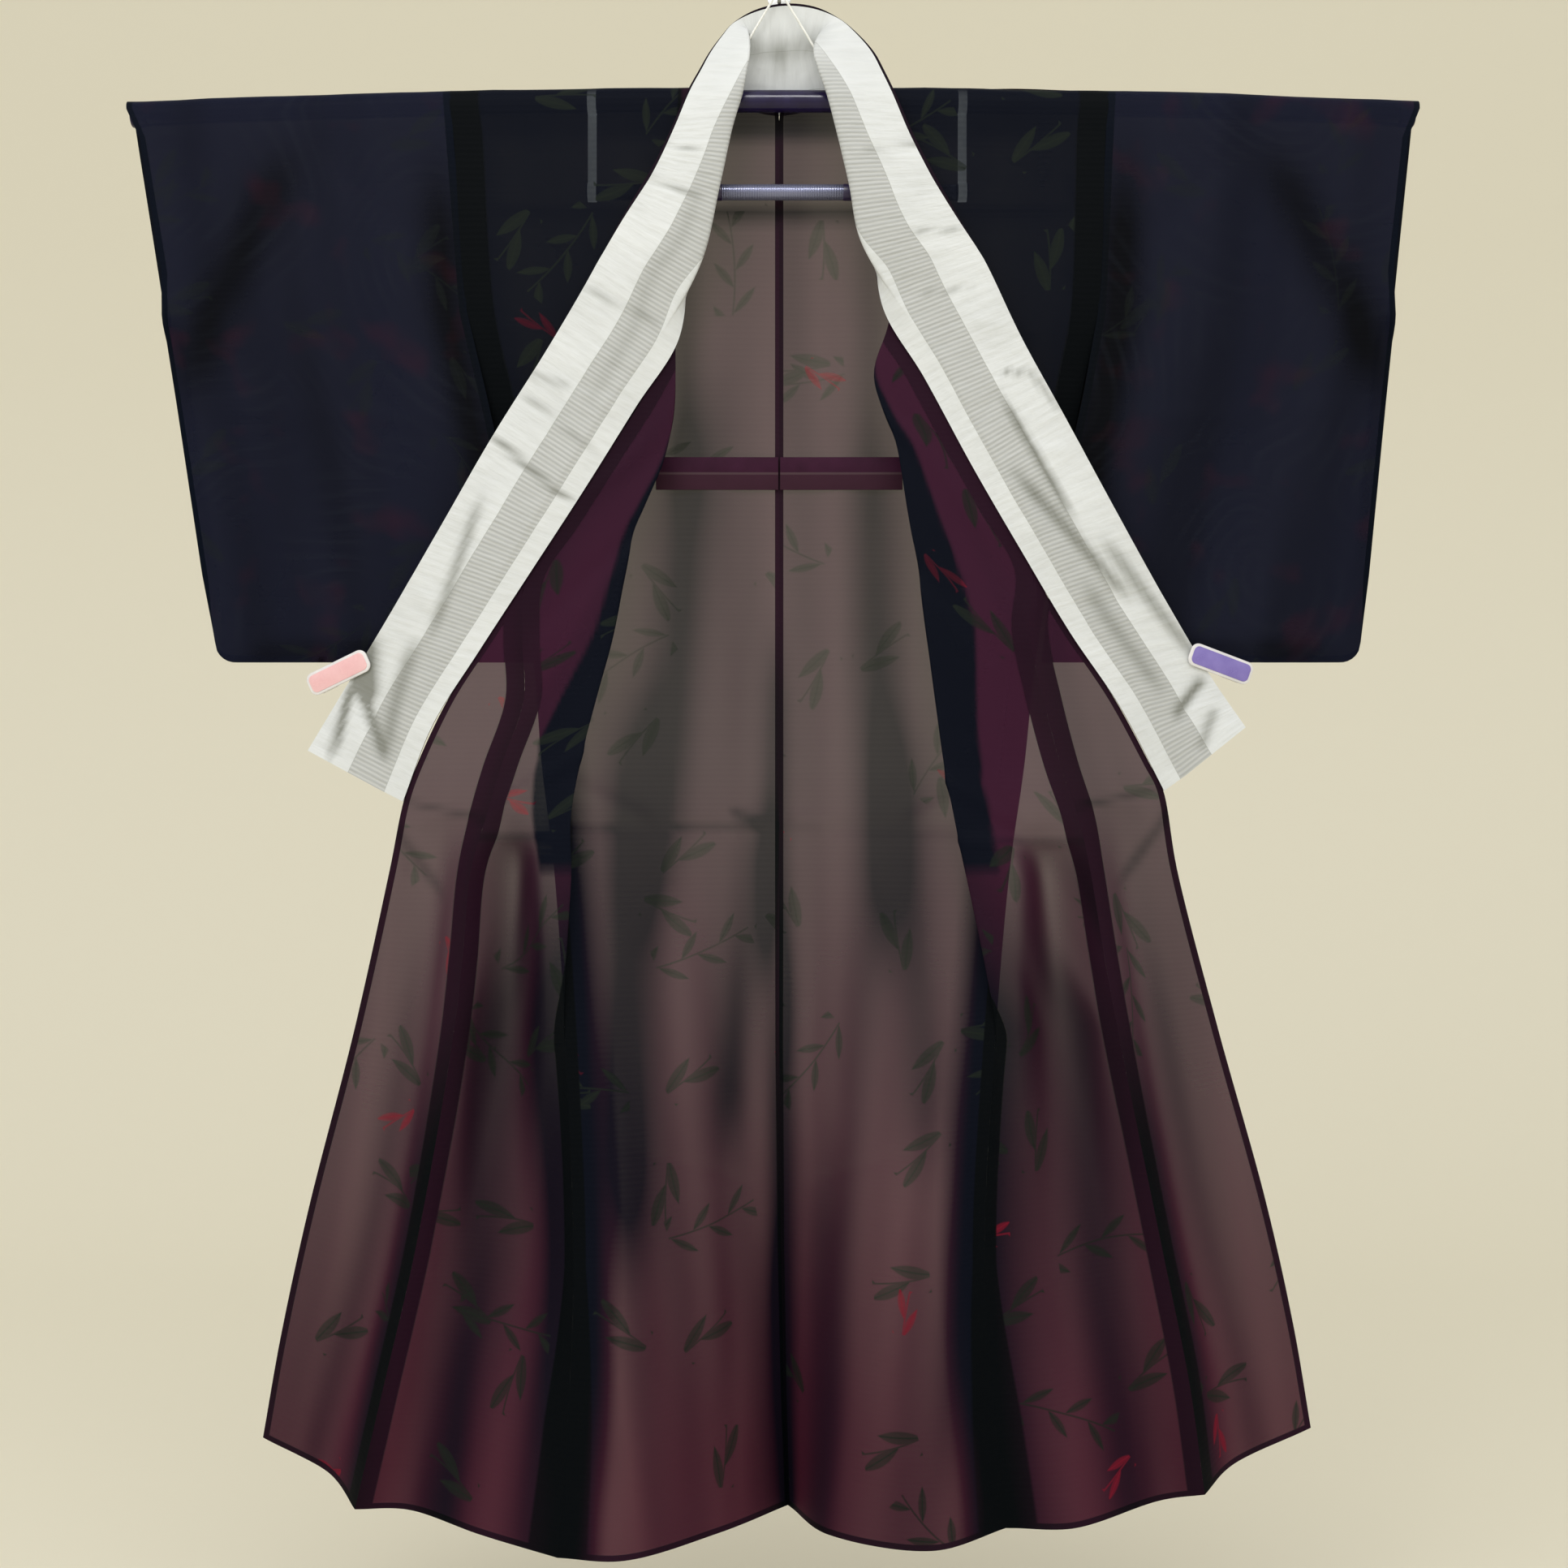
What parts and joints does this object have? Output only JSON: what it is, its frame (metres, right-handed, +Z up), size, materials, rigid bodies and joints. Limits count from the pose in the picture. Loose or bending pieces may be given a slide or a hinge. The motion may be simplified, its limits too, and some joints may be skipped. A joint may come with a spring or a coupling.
{
  "type": "summer kimono on a hanger",
  "caption": "Sheer dark summer kimono hung open on a two-bar hanger: sleeves spread, fronts turned outward, wide white-lined collar clipped open, plain wall hook.",
  "frame": {"origin": "centre of the wall hook plate's back face, where the part is held on the wall", "axes": "+X to the right of someone who faces the garment, +Z up, +Y into the wall; the wall is the plane Y = 0"},
  "size_m": [1.3313, 0.1611, 1.5881],
  "materials": {
    "body_cloth": "sheer gauze weave, burgundy where the light comes through",
    "sleeve_cloth": "the same sheer cloth lying double, so near black-navy",
    "collar_lining": "soft white silk",
    "bar_lacquer": "dark purple, glossy",
    "lower_bar": "steel purple, fine ribs",
    "strap": "grey tape",
    "cord": "white twisted cord",
    "hook_metal": "satin",
    "clip_pink": "glossy",
    "clip_purple": "glossy"
  },
  "bodies": {
    "root": {"back_left": "body_cloth", "back_right": "body_cloth", "front_left": "body_cloth", "front_right": "body_cloth", "okumi_left": "body_cloth", "okumi_right": "body_cloth", "sleeve_left": "sleeve_cloth", "sleeve_right": "sleeve_cloth", "collar_cloth": "sleeve_cloth", "collar_lining": "collar_lining", "tuck_left": "body_cloth", "tuck_right": "body_cloth", "hanger_bar": "bar_lacquer", "lower_bar": "lower_bar", "strap_left": "strap", "strap_right": "strap", "hanging_cord": "cord", "wall_hook": "hook_metal", "clip_left": "clip_pink", "clip_right": "clip_purple"}
  },
  "joints": []
}
